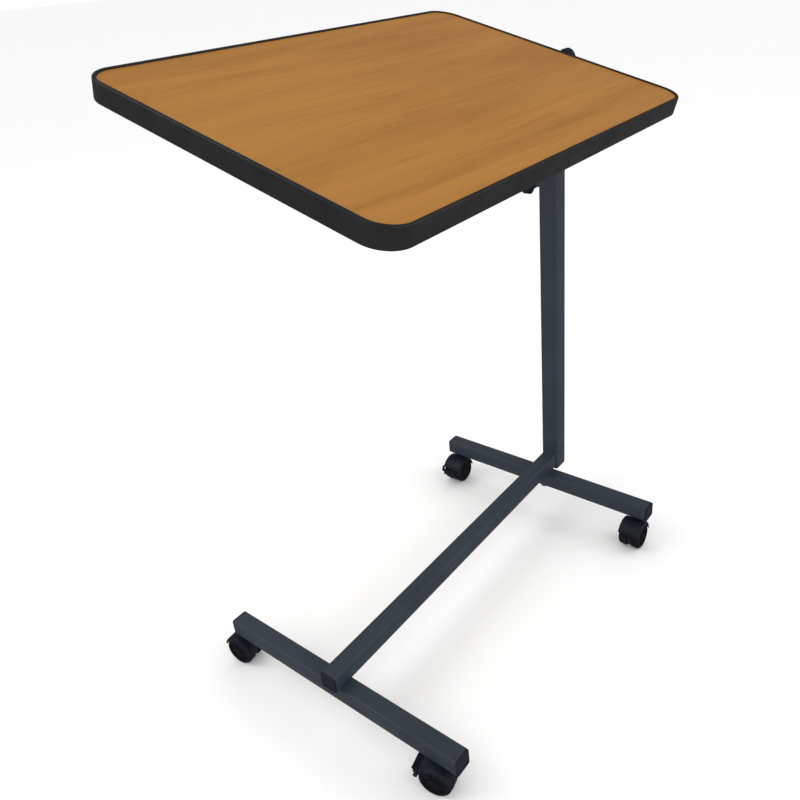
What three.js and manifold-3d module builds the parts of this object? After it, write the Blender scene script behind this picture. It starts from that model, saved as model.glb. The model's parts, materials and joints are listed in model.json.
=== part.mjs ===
// Overbed table: a tilting laminate top on a height-adjustable side mast, standing on a wheeled base.
// Millimetres, +Z up, floor at z = 0. Inside the assembly the mast axis is x = y = 0, +X runs along
// the spine towards the front crossbar and +Y is the side the top slopes down to.
import * as THREE from 'three';
import { mergeVertices, toCreasedNormals } from 'three/addons/utils/BufferGeometryUtils.js';
import Module from 'manifold-3d';

const wasm = await Module();
wasm.setup();

// ---------------------------------------------------------------- driving dimensions

const TOP_LENGTH = 600;
const TOP_WIDTH = 400;
const TOP_CORNER = 32;
const TOP_TILT = THREE.MathUtils.degToRad(16.5);
const TOP_RISE = 734; // underside of the crossbars to the rim of the tilted top, at its centre
const TOP_REAR_X = 9;

const BOARD_THICK = 18;
const LAMINATE_THICK = 0.8;
const BAND_HEIGHT = 23;
const BAND_WIDTH = 4;
const LIP_RISE = 1.8;

const BAR_SIDE = 25;
const BAR_WALL = 1.5;
const CROSSBAR_LENGTH = 404;
const CROSSBAR_Y = -3; // the crossbars are bolted on a little nearer their high-side ends
const REAR_BAR_X = 34;
const FRONT_BAR_X = 578;
const SPINE_OVERHANG = 8;

const MAST_SIDE = 30;
const MAST_WALL = 1.5;
const MAST_RISE = 574; // underside of the crossbars to the top of the outer mast tube
const INNER_MAST_START = 440; // top of the outer tube down to the hidden end of the inner one

const WHEEL_RADIUS = 22;
const WHEEL_WIDTH = 14;
const CASTER_HEIGHT = 51; // floor to the underside of the crossbars
const CASTER_INSET = 21; // swivel axis from the end of a crossbar
const CASTER_TRAIL = 16;

const SUPPORT_BAR_RADIUS = 10;
const SUPPORT_BAR_FRONT_X = 530;
const SUPPORT_PLATE_THICK = 5;
const SLEEVE_RADIUS = 13;
const SLEEVE_HALF = 36;

const FIT = 0.3; // clearance between neighbouring pieces
const GRIP = 0.1; // clearance round a thread or a pressed-in piece

// ---------------------------------------------------------------- sizes worked out from them

const TOP_HEIGHT = CASTER_HEIGHT + TOP_RISE;
const LAMINATE_Z = -LIP_RISE;
const BOARD_Z = LAMINATE_Z - LAMINATE_THICK - FIT;
const UNDERSIDE_Z = BOARD_Z - BOARD_THICK;
const PLATE_Z = UNDERSIDE_Z - FIT;
const AXIS_DROP = -PLATE_Z + SUPPORT_PLATE_THICK + FIT + SUPPORT_BAR_RADIUS;
const AXIS_Z = TOP_HEIGHT - AXIS_DROP * Math.cos(TOP_TILT);
const TOP_CENTRE_X = TOP_REAR_X + TOP_LENGTH / 2;

const BAR_TOP = CASTER_HEIGHT + BAR_SIDE;
const MAST_BOTTOM = BAR_TOP - 5;
const MAST_TOP = CASTER_HEIGHT + MAST_RISE;
const CLAMP_Z = MAST_TOP - 33;
const INNER_SIDE = MAST_SIDE - 2 * MAST_WALL - 2;
const INNER_MAST_BOTTOM = MAST_TOP - INNER_MAST_START;
const SPINE_FRONT_X = FRONT_BAR_X + BAR_SIDE / 2 + SPINE_OVERHANG;
const CASTER_Y = CROSSBAR_LENGTH / 2 - CASTER_INSET;

// The floor point under the middle of the bounding box, which becomes the model's origin.
const ORIGIN_X = 272;
const ORIGIN_Y = -11;

// ---------------------------------------------------------------- materials

function paint(color, roughness, metalness) {
  return () => new THREE.MeshStandardMaterial({ color, roughness, metalness });
}

const slatePaint = paint(0x3e4650, 0.45, 0.25);
const blackPlastic = paint(0x17181b, 0.55, 0);
const bandPlastic = paint(0x24252a, 0.5, 0);
const laminateWood = paint(0xb0793c, 0.4, 0);
const chipboard = paint(0xb59a72, 0.9, 0);
const zincSteel = paint(0x9a9da2, 0.35, 0.9);
const tyreRubber = paint(0x1c1c1e, 0.7, 0);

// ---------------------------------------------------------------- solid helpers

function toSolid(geometry) {
  const clean = geometry.clone();
  clean.deleteAttribute('normal');
  clean.deleteAttribute('uv');
  const merged = mergeVertices(clean, 1e-4);
  return new wasm.Manifold(new wasm.Mesh({
    numProp: 3,
    vertProperties: new Float32Array(merged.attributes.position.array),
    triVerts: new Uint32Array(merged.index.array),
  }));
}

function toGeometry(solid) {
  const { vertProperties, triVerts } = solid.getMesh();
  const geometry = new THREE.BufferGeometry();
  geometry.setAttribute('position', new THREE.BufferAttribute(new Float32Array(vertProperties), 3));
  geometry.setIndex(new THREE.BufferAttribute(new Uint32Array(triVerts), 1));
  return toCreasedNormals(geometry, 0.6);
}

function join(...geometries) {
  return toGeometry(geometries.map(toSolid).reduce((whole, next) => whole.add(next)));
}

function cut(geometry, ...tools) {
  return toGeometry(tools.map(toSolid).reduce((whole, tool) => whole.subtract(tool), toSolid(geometry)));
}

function roundedRectangle(width, height, radius, Kind = THREE.Shape) {
  const x = width / 2 - radius;
  const y = height / 2 - radius;
  const outline = new Kind();
  outline.absarc(x, y, radius, 0, Math.PI / 2);
  outline.absarc(-x, y, radius, Math.PI / 2, Math.PI);
  outline.absarc(-x, -y, radius, Math.PI, 1.5 * Math.PI);
  outline.absarc(x, -y, radius, 1.5 * Math.PI, 2 * Math.PI);
  outline.closePath();
  return outline;
}

function circle(radius, Kind = THREE.Shape) {
  return new Kind().absarc(0, 0, radius, 0, 2 * Math.PI);
}

// Extrudes an outline upwards from z = base, taking `round` off the edges at its ends.
function prism(outline, height, { round = 0, base = 0, segments = 2 } = {}) {
  const geometry = new THREE.ExtrudeGeometry(outline, {
    depth: height - 2 * round,
    curveSegments: segments,
    bevelEnabled: round > 0,
    bevelThickness: round,
    bevelSize: round,
    bevelOffset: -round,
    bevelSegments: 1,
  });
  return geometry.translate(0, 0, base + round);
}

function rod(radius, height, { base = 0, round = 0, segments = 8 } = {}) {
  return prism(circle(radius), height, { base, round, segments });
}

function ring(outer, inner, height, { base = 0, segments = 10 } = {}) {
  const outline = circle(outer);
  outline.holes.push(circle(inner, THREE.Path));
  return prism(outline, height, { base, segments });
}

function hexagon(acrossFlats, height, base) {
  const corner = acrossFlats / Math.sqrt(3);
  const points = [];
  for (let i = 0; i < 6; i += 1) {
    const angle = (i * Math.PI) / 3;
    points.push(new THREE.Vector2(corner * Math.cos(angle), corner * Math.sin(angle)));
  }
  return prism(new THREE.Shape(points), height, { base });
}

const TUBE_CORNER = 2.5;

function squareTube(side, wall, length) {
  const outline = roundedRectangle(side, side, TUBE_CORNER);
  outline.holes.push(roundedRectangle(side - 2 * wall, side - 2 * wall, TUBE_CORNER - wall, THREE.Path));
  return prism(outline, length);
}

function alongX(geometry) {
  return geometry.rotateY(Math.PI / 2);
}

function alongY(geometry) {
  return geometry.rotateX(-Math.PI / 2);
}

function piece(name, geometry, material, parent, x = 0, y = 0, z = 0) {
  const mesh = new THREE.Mesh(geometry, material());
  mesh.name = name;
  mesh.position.set(x, y, z);
  parent.add(mesh);
  return mesh;
}

// ---------------------------------------------------------------- tube end plugs

const PLUG_FLANGE = 3;
const PLUG_DEPTH = 9;
const PLUG_WALL = 2;
const PLUG_CORNER = 1;

// A plastic plug for a square tube: a rounded flange outside and a hollow body inside the bore.
function endPlug(side, wall) {
  const bore = side - 2 * wall - 2 * FIT;
  const hollow = bore - 2 * PLUG_WALL;
  const flange = prism(roundedRectangle(side, side, 3), PLUG_FLANGE, { round: 1 });
  const body = prism(roundedRectangle(bore, bore, PLUG_CORNER), PLUG_DEPTH + 1, { base: -PLUG_DEPTH });
  const recess = prism(roundedRectangle(hollow, hollow, PLUG_CORNER), PLUG_DEPTH, { base: -PLUG_DEPTH - 1 });
  return cut(join(flange, body), recess);
}

// ---------------------------------------------------------------- wheeled base

const BOLT_RADIUS = 4;
const BOLT_HEAD_FLATS = 13;
const BOLT_HEAD_HEIGHT = 5.3;
const WASHER_RADIUS = 9;
const WASHER_THICK = 1.6;
const RIVET_NUT_RADIUS = 5.5;
const RIVET_NUT_LENGTH = 14;
const RIVET_BULGE_RADIUS = 8;
const RIVET_BULGE_HEIGHT = 4;
const STEM_RADIUS = 4;
const STEM_REACH = 16; // how far a caster stem goes up inside its crossbar

function crossbar() {
  const length = CROSSBAR_LENGTH - 2 * PLUG_FLANGE;
  const below = -BAR_SIDE / 2 - 1;
  const tube = alongY(squareTube(BAR_SIDE, BAR_WALL, length)).translate(0, -length / 2, 0);
  const boltHole = rod(BOLT_RADIUS + FIT, BAR_SIDE + 2, { base: below }).translate(0, -CROSSBAR_Y, 0);
  const stemHoles = [-CASTER_Y, CASTER_Y].map(
    (y) => rod(STEM_RADIUS + FIT, BAR_SIDE / 2, { base: below }).translate(0, y, 0),
  );
  return cut(tube, boltHole, ...stemHoles);
}

function spineTube() {
  const start = MAST_SIDE / 2;
  const length = SPINE_FRONT_X - PLUG_FLANGE - start;
  const tube = alongX(squareTube(BAR_SIDE, BAR_WALL, length)).translate(start, 0, 0);
  const holes = [REAR_BAR_X, FRONT_BAR_X].map(
    (x) => rod(RIVET_NUT_RADIUS + FIT, BAR_SIDE / 2, { base: -BAR_SIDE / 2 - 1 }).translate(x, 0, 0),
  );
  return cut(tube, ...holes);
}

// The bolt comes up from under the crossbar into a rivet nut held in the floor of the spine.
function addSpineBolt(end, x, parent) {
  const headTop = -WASHER_THICK;
  const headBottom = headTop - BOLT_HEAD_HEIGHT;
  const shankLength = BAR_SIDE + RIVET_NUT_LENGTH - 2;
  const head = hexagon(BOLT_HEAD_FLATS, BOLT_HEAD_HEIGHT, headBottom);
  const bolt = join(head, rod(BOLT_RADIUS, shankLength - headTop + 1, { base: headTop - 1 }));
  const washer = ring(WASHER_RADIUS, BOLT_RADIUS + FIT, WASHER_THICK, { base: headTop });
  const bore = BOLT_RADIUS + GRIP;
  const nutBody = ring(RIVET_NUT_RADIUS, bore, RIVET_NUT_LENGTH, { base: BAR_SIDE + GRIP });
  const nutBulge = ring(RIVET_BULGE_RADIUS, bore, RIVET_BULGE_HEIGHT, { base: BAR_SIDE + BAR_WALL + GRIP });
  piece(`${end}_spine_bolt_washer`, washer, zincSteel, parent, x, 0, CASTER_HEIGHT);
  piece(`${end}_spine_bolt`, bolt, zincSteel, parent, x, 0, CASTER_HEIGHT);
  piece(`${end}_spine_rivet_nut`, join(nutBody, nutBulge), zincSteel, parent, x, 0, CASTER_HEIGHT);
}

function addCrossbar(end, x, parent) {
  const centreZ = CASTER_HEIGHT + BAR_SIDE / 2;
  piece(`${end}_crossbar`, crossbar(), slatePaint, parent, x, CROSSBAR_Y, centreZ);
  for (const [side, sign] of [['left', -1], ['right', 1]]) {
    const plug = endPlug(BAR_SIDE, BAR_WALL).rotateX((-sign * Math.PI) / 2);
    const seatY = CROSSBAR_Y + sign * (CROSSBAR_LENGTH / 2 - PLUG_FLANGE);
    piece(`${end}_crossbar_plug_${side}`, plug, blackPlastic, parent, x, seatY, centreZ);
  }
}

function addSpine(parent) {
  const centreZ = BAR_TOP + BAR_SIDE / 2;
  const plugX = SPINE_FRONT_X - PLUG_FLANGE;
  piece('spine_tube', spineTube(), slatePaint, parent, 0, 0, centreZ);
  piece('spine_end_plug', alongX(endPlug(BAR_SIDE, BAR_WALL)), blackPlastic, parent, plugX, 0, centreZ);
  addSpineBolt('front', FRONT_BAR_X, parent);
  addSpineBolt('rear', REAR_BAR_X, parent);
}

// ---------------------------------------------------------------- casters

const AXLE_RADIUS = 3;
const WHEEL_INNER_Y = 4;
const WEB_THICK = 2 * (WHEEL_INNER_Y - 1);
const HOOD_INNER = WHEEL_RADIUS + 1.2;
const HOOD_OUTER = HOOD_INNER + 2.2;
const HOOD_WIDTH = 38;
const BARREL_RADIUS = 9;
const BARREL_TOP = CASTER_HEIGHT - 3.2;
const COLLAR_RADIUS = 7;
const STEM_BOTTOM = BARREL_TOP - 4;

// Brake rocker pivot, in the swivelling frame of a caster.
const PEDAL_REACH = HOOD_OUTER;
const PEDAL_ANGLE = THREE.MathUtils.degToRad(166);
const PEDAL_X = -CASTER_TRAIL + PEDAL_REACH * Math.cos(PEDAL_ANGLE);
const PEDAL_Z = WHEEL_RADIUS + PEDAL_REACH * Math.sin(PEDAL_ANGLE);
const PEDAL_HUB_RADIUS = 2;
const TOE_LENGTH = 9;
const TOE_THICK = 2.2;
const TOE_WIDTH = 26;
const EAR_RADIUS = 3.1;
const EAR_HEIGHT = 7.5;
const EAR_THICK = 2.4;
const EAR_INNER_Y = HOOD_WIDTH / 2 - EAR_THICK;
const EAR_PIN_RADIUS = 1.2;

// One wheel of the pair, turned about y, with its rounded outer face towards +y.
function wheel() {
  const bore = AXLE_RADIUS + FIT;
  const half = WHEEL_WIDTH / 2;
  const profile = [
    [bore, -half],
    [WHEEL_RADIUS - 1.5, -half],
    [WHEEL_RADIUS, -half + 1.5],
    [WHEEL_RADIUS, half - 5],
    [WHEEL_RADIUS - 1.5, half - 2],
    [WHEEL_RADIUS - 5, half],
    [bore, half],
    [bore, -half],
  ].map(([radius, across]) => new THREE.Vector2(radius, across));
  return new THREE.LatheGeometry(profile, 20);
}

// The shape of the hood seen from the side: an arched band concentric with the wheels.
function hoodArch(inner, outer) {
  const from = THREE.MathUtils.degToRad(8);
  const to = THREE.MathUtils.degToRad(154);
  const arch = new THREE.Shape();
  arch.absarc(0, 0, outer, from, to);
  arch.absarc(0, 0, inner, to, from, true);
  arch.closePath();
  return arch;
}

// A side view drawn in x and z about the axle, given a thickness centred on y = 0.
function sideView(outline, width, segments) {
  return prism(outline, width, { segments })
    .rotateX(Math.PI / 2)
    .translate(-CASTER_TRAIL, width / 2, WHEEL_RADIUS);
}

// Two ears that carry the brake rocker's pins at the back rim of a hood.
function brakeEars() {
  const outline = new THREE.Shape();
  outline.absarc(0, 0, EAR_RADIUS, Math.PI, 0);
  outline.lineTo(EAR_RADIUS, EAR_HEIGHT);
  outline.lineTo(0, EAR_HEIGHT);
  outline.closePath();
  outline.holes.push(circle(EAR_PIN_RADIUS + FIT, THREE.Path));
  return [-EAR_INNER_Y, HOOD_WIDTH / 2].map(
    (y) => prism(outline, EAR_THICK, { segments: 6 }).rotateX(Math.PI / 2).translate(PEDAL_X, y, PEDAL_Z),
  );
}

function hood(braked) {
  const wheelRoom = 20;
  const barrelBottom = WHEEL_RADIUS + 9;
  const arch = sideView(hoodArch(HOOD_INNER, HOOD_OUTER), HOOD_WIDTH, 7);
  const disc = sideView(circle(WHEEL_RADIUS - 2), WEB_THICK, 12);
  const rib = sideView(hoodArch(WHEEL_RADIUS - 4, HOOD_OUTER - 1), WEB_THICK, 7);
  const barrel = rod(BARREL_RADIUS, BARREL_TOP - barrelBottom, { base: barrelBottom });
  const roomY = (WEB_THICK + wheelRoom) / 2;
  const clearances = [-roomY, roomY].map(
    (y) => sideView(circle(HOOD_INNER), wheelRoom, 12).translate(0, y, 0),
  );
  const stemBore = rod(STEM_RADIUS + FIT, CASTER_HEIGHT, { base: STEM_BOTTOM - FIT });
  const axleBore = sideView(circle(AXLE_RADIUS + FIT), HOOD_WIDTH, 8);
  const underside = new THREE.BoxGeometry(90, 60, 30).translate(-CASTER_TRAIL, 0, -5);
  const ears = braked ? brakeEars() : [];
  return cut(join(arch, rib, disc, barrel, ...ears), ...clearances, stemBore, axleBore, underside);
}

function axle() {
  const length = 2 * (WHEEL_INNER_Y + WHEEL_WIDTH - 1);
  return alongY(rod(AXLE_RADIUS, length, { round: 0.6 })).translate(0, -length / 2, 0);
}

function stem() {
  const shaft = rod(STEM_RADIUS, CASTER_HEIGHT + STEM_REACH - STEM_BOTTOM, { base: STEM_BOTTOM, round: 0.8 });
  const collarBottom = BARREL_TOP + FIT;
  return join(shaft, rod(COLLAR_RADIUS, CASTER_HEIGHT - collarBottom, { base: collarBottom }));
}

// A brake rocker: a hub held by pins in the hood's ears, with an upper and a lower toe.
function brakePedal() {
  const hubWidth = 2 * (EAR_INNER_Y - FIT);
  const pinWidth = hubWidth + 2 * EAR_THICK - 1;
  const across = (geometry, width) => geometry.rotateX(Math.PI / 2).translate(0, width / 2, 0);
  const hub = across(rod(PEDAL_HUB_RADIUS, hubWidth), hubWidth);
  const pin = across(rod(EAR_PIN_RADIUS, pinWidth), pinWidth);
  const toes = [-145, 165].map((degrees) => {
    const outline = roundedRectangle(TOE_LENGTH, TOE_THICK, 1);
    const toe = across(prism(outline, TOE_WIDTH), TOE_WIDTH).translate(TOE_LENGTH / 2 - 1, 0, 0);
    return toe.rotateY(THREE.MathUtils.degToRad(-degrees));
  });
  return join(hub, pin, ...toes);
}

// `heading` is the way the caster would roll: its wheels trail behind the swivel.
function addCaster(corner, x, side, heading, braked, parent) {
  const name = `${corner}_caster`;
  const y = CROSSBAR_Y + side * CASTER_Y;
  piece(`${name}_stem`, stem(), zincSteel, parent, x, y, 0);

  const swivel = new THREE.Group();
  swivel.position.set(x, y, 0);
  swivel.rotation.z = THREE.MathUtils.degToRad(heading);
  parent.add(swivel);
  piece(`${name}_hood`, hood(braked), blackPlastic, swivel);
  piece(`${name}_axle`, axle(), zincSteel, swivel, -CASTER_TRAIL, 0, WHEEL_RADIUS);
  for (const [wheelSide, sign] of [['left', 1], ['right', -1]]) {
    const wheelName = `${name}_wheel_${wheelSide}`;
    const mesh = piece(wheelName, wheel(), tyreRubber, swivel, -CASTER_TRAIL, 0, WHEEL_RADIUS);
    mesh.position.y = sign * (WHEEL_INNER_Y + WHEEL_WIDTH / 2);
    mesh.rotation.z = sign < 0 ? Math.PI : 0;
  }
  if (braked) {
    piece(`${name}_brake_pedal`, brakePedal(), blackPlastic, swivel, PEDAL_X, 0, PEDAL_Z);
  }
}

// ---------------------------------------------------------------- hand knobs

const KNOB_POINTS = 30;
const KNOB_STUD_RADIUS = 4;

// Outline of a lobed grip. Its hollows come in from the outer radius by twice the depth.
function starOutline(radius, lobes, depth) {
  const points = [];
  for (let i = 0; i < KNOB_POINTS; i += 1) {
    const angle = (i * 2 * Math.PI) / KNOB_POINTS;
    const reach = radius - depth + depth * Math.cos(lobes * angle);
    points.push(new THREE.Vector2(reach * Math.cos(angle), reach * Math.sin(angle)));
  }
  return new THREE.Shape(points);
}

// A knob whose hub starts at z = 0 and whose star grip ends at z = hub + grip.
function handKnob({ radius, lobes, depth, hubHeight, gripHeight, boreDepth }) {
  const grip = prism(starOutline(radius, lobes, depth), gripHeight, { base: hubHeight, round: 2.5 });
  const hub = rod(radius * 0.45, hubHeight + 2);
  const bore = rod(KNOB_STUD_RADIUS + GRIP, boreDepth + 1, { base: -1 });
  return cut(join(hub, grip), bore);
}

// ---------------------------------------------------------------- mast

const BOSS_RADIUS = 9;
const BOSS_LENGTH = 10;
const BOSS_KNOB_GAP = 1.5;
const HEIGHT_KNOB = { radius: 21, lobes: 5, depth: 2.7, hubHeight: 6, gripHeight: 16, boreDepth: 14 };
const GUIDE_SIDE = MAST_SIDE + 5;
const GUIDE_HEIGHT = 17;
const GUIDE_SOCKET = 13;

function outerMast() {
  const start = MAST_BOTTOM + PLUG_FLANGE;
  const tube = squareTube(MAST_SIDE, MAST_WALL, MAST_TOP - start);
  const studHole = alongY(rod(KNOB_STUD_RADIUS + FIT, MAST_SIDE / 2))
    .translate(0, -MAST_SIDE / 2 - 3, CLAMP_Z - start);
  return cut(tube, studHole);
}

// Cap over the top of the outer tube that the inner tube slides through.
function guideCollar() {
  const corner = TUBE_CORNER + FIT;
  const socketSide = MAST_SIDE + 2 * FIT;
  const windowSide = INNER_SIDE + 2 * FIT;
  const cap = prism(roundedRectangle(GUIDE_SIDE, GUIDE_SIDE, 4), GUIDE_HEIGHT, { round: 1 });
  const socket = prism(roundedRectangle(socketSide, socketSide, corner), GUIDE_SOCKET + 1, { base: -1 });
  const window = prism(roundedRectangle(windowSide, windowSide, corner), GUIDE_HEIGHT + 2, { base: -1 });
  return cut(cap, socket, window);
}

function innerMast() {
  const length = AXIS_Z - INNER_MAST_BOTTOM;
  const tube = squareTube(INNER_SIDE, BAR_WALL, length);
  const copeLength = 2 * MAST_SIDE;
  const cope = alongX(rod(SLEEVE_RADIUS + FIT, copeLength, { segments: 10 }))
    .translate(-copeLength / 2, 0, length);
  return cut(tube, cope);
}

// The knob's stud passes through the boss and stops just short of the inner tube.
function addHeightClamp(parent) {
  const faceY = -MAST_SIDE / 2;
  const knobStart = faceY - BOSS_LENGTH - BOSS_KNOB_GAP;
  const studTip = -INNER_SIDE / 2 - FIT;
  const studLength = studTip - knobStart + HEIGHT_KNOB.boreDepth - FIT;
  const boss = ring(BOSS_RADIUS, KNOB_STUD_RADIUS + FIT, BOSS_LENGTH).rotateX(Math.PI / 2);
  const knob = handKnob(HEIGHT_KNOB).rotateX(Math.PI / 2);
  const stud = rod(KNOB_STUD_RADIUS, studLength, { round: 0.6 }).rotateX(Math.PI / 2);
  piece('height_clamp_boss', boss, slatePaint, parent, 0, faceY, CLAMP_Z);
  piece('height_clamp_knob', knob, blackPlastic, parent, 0, knobStart, CLAMP_Z);
  piece('height_clamp_stud', stud, zincSteel, parent, 0, studTip, CLAMP_Z);
}

function addMast(parent) {
  const foot = endPlug(MAST_SIDE, MAST_WALL).rotateX(Math.PI);
  const guideZ = MAST_TOP - GUIDE_SOCKET + FIT;
  const sleeve = alongX(ring(SLEEVE_RADIUS, SUPPORT_BAR_RADIUS + FIT, 2 * SLEEVE_HALF))
    .translate(-SLEEVE_HALF, 0, 0);
  piece('mast_outer_tube', outerMast(), slatePaint, parent, 0, 0, MAST_BOTTOM + PLUG_FLANGE);
  piece('mast_foot_plug', foot, blackPlastic, parent, 0, 0, MAST_BOTTOM + PLUG_FLANGE);
  piece('mast_guide_collar', guideCollar(), blackPlastic, parent, 0, 0, guideZ);
  piece('mast_inner_tube', innerMast(), slatePaint, parent, 0, 0, INNER_MAST_BOTTOM);
  piece('tilt_sleeve', sleeve, slatePaint, parent, 0, 0, AXIS_Z);
}

// ---------------------------------------------------------------- tilting top

const TONGUE_DEPTH = 7;
const TONGUE_THICK = 2.4;
const TONGUE_Z = BOARD_Z - BOARD_THICK / 2;

const PLATE_X = [110, 490];
const PLATE_WIDTH = 30;
const PLATE_HALF_Y = 80;
const SCREW_HALF_Y = 62;
const SCREW_RADIUS = 2;
const SCREW_HEAD_RADIUS = 4.5;
const SCREW_HEAD_HEIGHT = 3;
const SCREW_LENGTH = 15;

const BAR_REAR_X = 2 - SLEEVE_HALF;
const INSERT_LENGTH = 24;

function topOutline(inset, Kind = THREE.Shape) {
  return roundedRectangle(TOP_LENGTH - 2 * inset, TOP_WIDTH - 2 * inset, TOP_CORNER - inset, Kind);
}

// A frame that follows the edge of the top, between two distances in from it.
function topFrame(outerInset, innerInset, height, { base, round = 0 }) {
  const outline = topOutline(outerInset);
  outline.holes.push(topOutline(innerInset, THREE.Path));
  return prism(outline, height, { base, round, segments: 5 });
}

// Edge band: a rounded strip with a tongue that presses into a groove round the board.
function edgeBand() {
  const strip = topFrame(0, BAND_WIDTH, BAND_HEIGHT, { base: -BAND_HEIGHT, round: 1.4 });
  const tongueBase = TONGUE_Z - TONGUE_THICK / 2;
  return join(strip, topFrame(2, BAND_WIDTH + TONGUE_DEPTH, TONGUE_THICK, { base: tongueBase }));
}

// Screw positions in the board, measured from its centre.
function screwPlaces() {
  return PLATE_X.flatMap((x) => [-SCREW_HALF_Y, SCREW_HALF_Y].map((y) => [x - TOP_CENTRE_X, y]));
}

function board() {
  const slab = prism(topOutline(BAND_WIDTH + FIT), BOARD_THICK, { base: UNDERSIDE_Z, segments: 5 });
  const grooveHeight = TONGUE_THICK + 2 * FIT;
  const grooveInset = BAND_WIDTH + TONGUE_DEPTH + 1;
  const groove = topFrame(0, grooveInset, grooveHeight, { base: TONGUE_Z - grooveHeight / 2 });
  const pilots = screwPlaces().map(
    ([x, y]) => rod(SCREW_RADIUS + FIT, SCREW_LENGTH, { base: UNDERSIDE_Z - 1 }).translate(x, y, 0),
  );
  return cut(slab, groove, ...pilots);
}

function supportPlate() {
  const outline = roundedRectangle(PLATE_WIDTH, 2 * PLATE_HALF_Y, 6);
  const plate = prism(outline, SUPPORT_PLATE_THICK, { base: -SUPPORT_PLATE_THICK });
  const holes = [-SCREW_HALF_Y, SCREW_HALF_Y].map((y) => {
    const hole = rod(SCREW_RADIUS + FIT, SUPPORT_PLATE_THICK + 2, { base: -SUPPORT_PLATE_THICK - 1 });
    return hole.translate(0, y, 0);
  });
  return cut(plate, ...holes);
}

// Pan-head screw, head below z = 0 and thread above.
function boardScrew() {
  const head = rod(SCREW_HEAD_RADIUS, SCREW_HEAD_HEIGHT, { base: -SCREW_HEAD_HEIGHT, round: 1 });
  return join(head, rod(SCREW_RADIUS, SCREW_LENGTH + 1, { base: -1 }));
}

// The round bar under the top, with its front cap, its stop collar and the threaded insert at the back.
function addSupportBar(tilt) {
  const bore = SUPPORT_BAR_RADIUS - BAR_WALL;
  const length = SUPPORT_BAR_FRONT_X - BAR_REAR_X;
  const bar = alongX(ring(SUPPORT_BAR_RADIUS, bore, length)).translate(BAR_REAR_X, 0, 0);
  const capBody = rod(bore - FIT, 13, { base: -12 });
  const capHead = rod(SUPPORT_BAR_RADIUS, 3, { round: 1 });
  const collar = alongX(ring(SLEEVE_RADIUS, SUPPORT_BAR_RADIUS + FIT, 6));
  const insert = alongX(ring(bore - GRIP, KNOB_STUD_RADIUS + GRIP, INSERT_LENGTH));
  piece('support_bar', bar, slatePaint, tilt);
  piece('support_bar_plug', alongX(join(capBody, capHead)), blackPlastic, tilt, SUPPORT_BAR_FRONT_X + FIT);
  piece('support_bar_collar', collar, slatePaint, tilt, SLEEVE_HALF + FIT);
  piece('support_bar_insert', insert, zincSteel, tilt, BAR_REAR_X);
}

function addSupportPlate(end, x, tilt) {
  const plateZ = AXIS_DROP + PLATE_Z;
  const headZ = plateZ - SUPPORT_PLATE_THICK - FIT;
  piece(`${end}_support_plate`, supportPlate(), slatePaint, tilt, x, 0, plateZ);
  for (const [side, sign] of [['left', -1], ['right', 1]]) {
    piece(`${end}_board_screw_${side}`, boardScrew(), zincSteel, tilt, x, sign * SCREW_HALF_Y, headZ);
  }
}

function addTop(parent) {
  const tilt = new THREE.Group();
  tilt.position.set(0, 0, AXIS_Z);
  tilt.rotation.x = -TOP_TILT;
  parent.add(tilt);

  const laminateBase = LAMINATE_Z - LAMINATE_THICK;
  const laminate = prism(topOutline(BAND_WIDTH + FIT), LAMINATE_THICK, { base: laminateBase, segments: 5 });
  piece('top_board', board(), chipboard, tilt, TOP_CENTRE_X, 0, AXIS_DROP);
  piece('top_laminate', laminate, laminateWood, tilt, TOP_CENTRE_X, 0, AXIS_DROP);
  piece('top_edge_band', edgeBand(), bandPlastic, tilt, TOP_CENTRE_X, 0, AXIS_DROP);
  addSupportBar(tilt);
  addSupportPlate('rear', PLATE_X[0], tilt);
  addSupportPlate('front', PLATE_X[1], tilt);
}

// ---------------------------------------------------------------- tilt clamp

const TILT_KNOB = { radius: 28, lobes: 3, depth: 7.5, hubHeight: 8, gripHeight: 17, boreDepth: 18 };
const TILT_KNOB_TURN = THREE.MathUtils.degToRad(18); // how far its upper lobe leans to the high side
const TILT_WASHER_RADIUS = 14;
const TILT_WASHER_THICK = 2.5;

// The tilt knob pulls the support bar's insert back against the washer and the sleeve.
function addTiltClamp(parent) {
  const washerX = -SLEEVE_HALF - FIT;
  const knobStart = washerX - TILT_WASHER_THICK - FIT;
  const studFront = BAR_REAR_X + INSERT_LENGTH - 4;
  const studLength = studFront - knobStart + TILT_KNOB.boreDepth - FIT;
  const washer = alongX(ring(TILT_WASHER_RADIUS, KNOB_STUD_RADIUS + FIT, TILT_WASHER_THICK))
    .translate(-TILT_WASHER_THICK, 0, 0);
  const knob = handKnob(TILT_KNOB).rotateY(-Math.PI / 2).rotateX(TILT_KNOB_TURN);
  const stud = rod(KNOB_STUD_RADIUS, studLength, { round: 0.6 }).rotateY(-Math.PI / 2);
  piece('tilt_clamp_washer', washer, zincSteel, parent, washerX, 0, AXIS_Z);
  piece('tilt_clamp_knob', knob, blackPlastic, parent, knobStart, 0, AXIS_Z);
  piece('tilt_clamp_stud', stud, zincSteel, parent, studFront, 0, AXIS_Z);
}

// ---------------------------------------------------------------- assembly

const table = new THREE.Group();
table.name = 'overbed_table';
table.position.set(-ORIGIN_X, -ORIGIN_Y, 0);

addCrossbar('front', FRONT_BAR_X, table);
addCrossbar('rear', REAR_BAR_X, table);
addSpine(table);
addCaster('front_left', FRONT_BAR_X, -1, 96, false, table);
addCaster('front_right', FRONT_BAR_X, 1, 103, true, table);
addCaster('rear_left', REAR_BAR_X, -1, 181, true, table);
addCaster('rear_right', REAR_BAR_X, 1, 182, false, table);
addMast(table);
addHeightClamp(table);
addTop(table);
addTiltClamp(table);

export default table;
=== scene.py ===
import json
from math import atan2, cos, pi, radians, sin, sqrt

import bmesh
import bpy
from mathutils import Matrix, Vector


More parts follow.
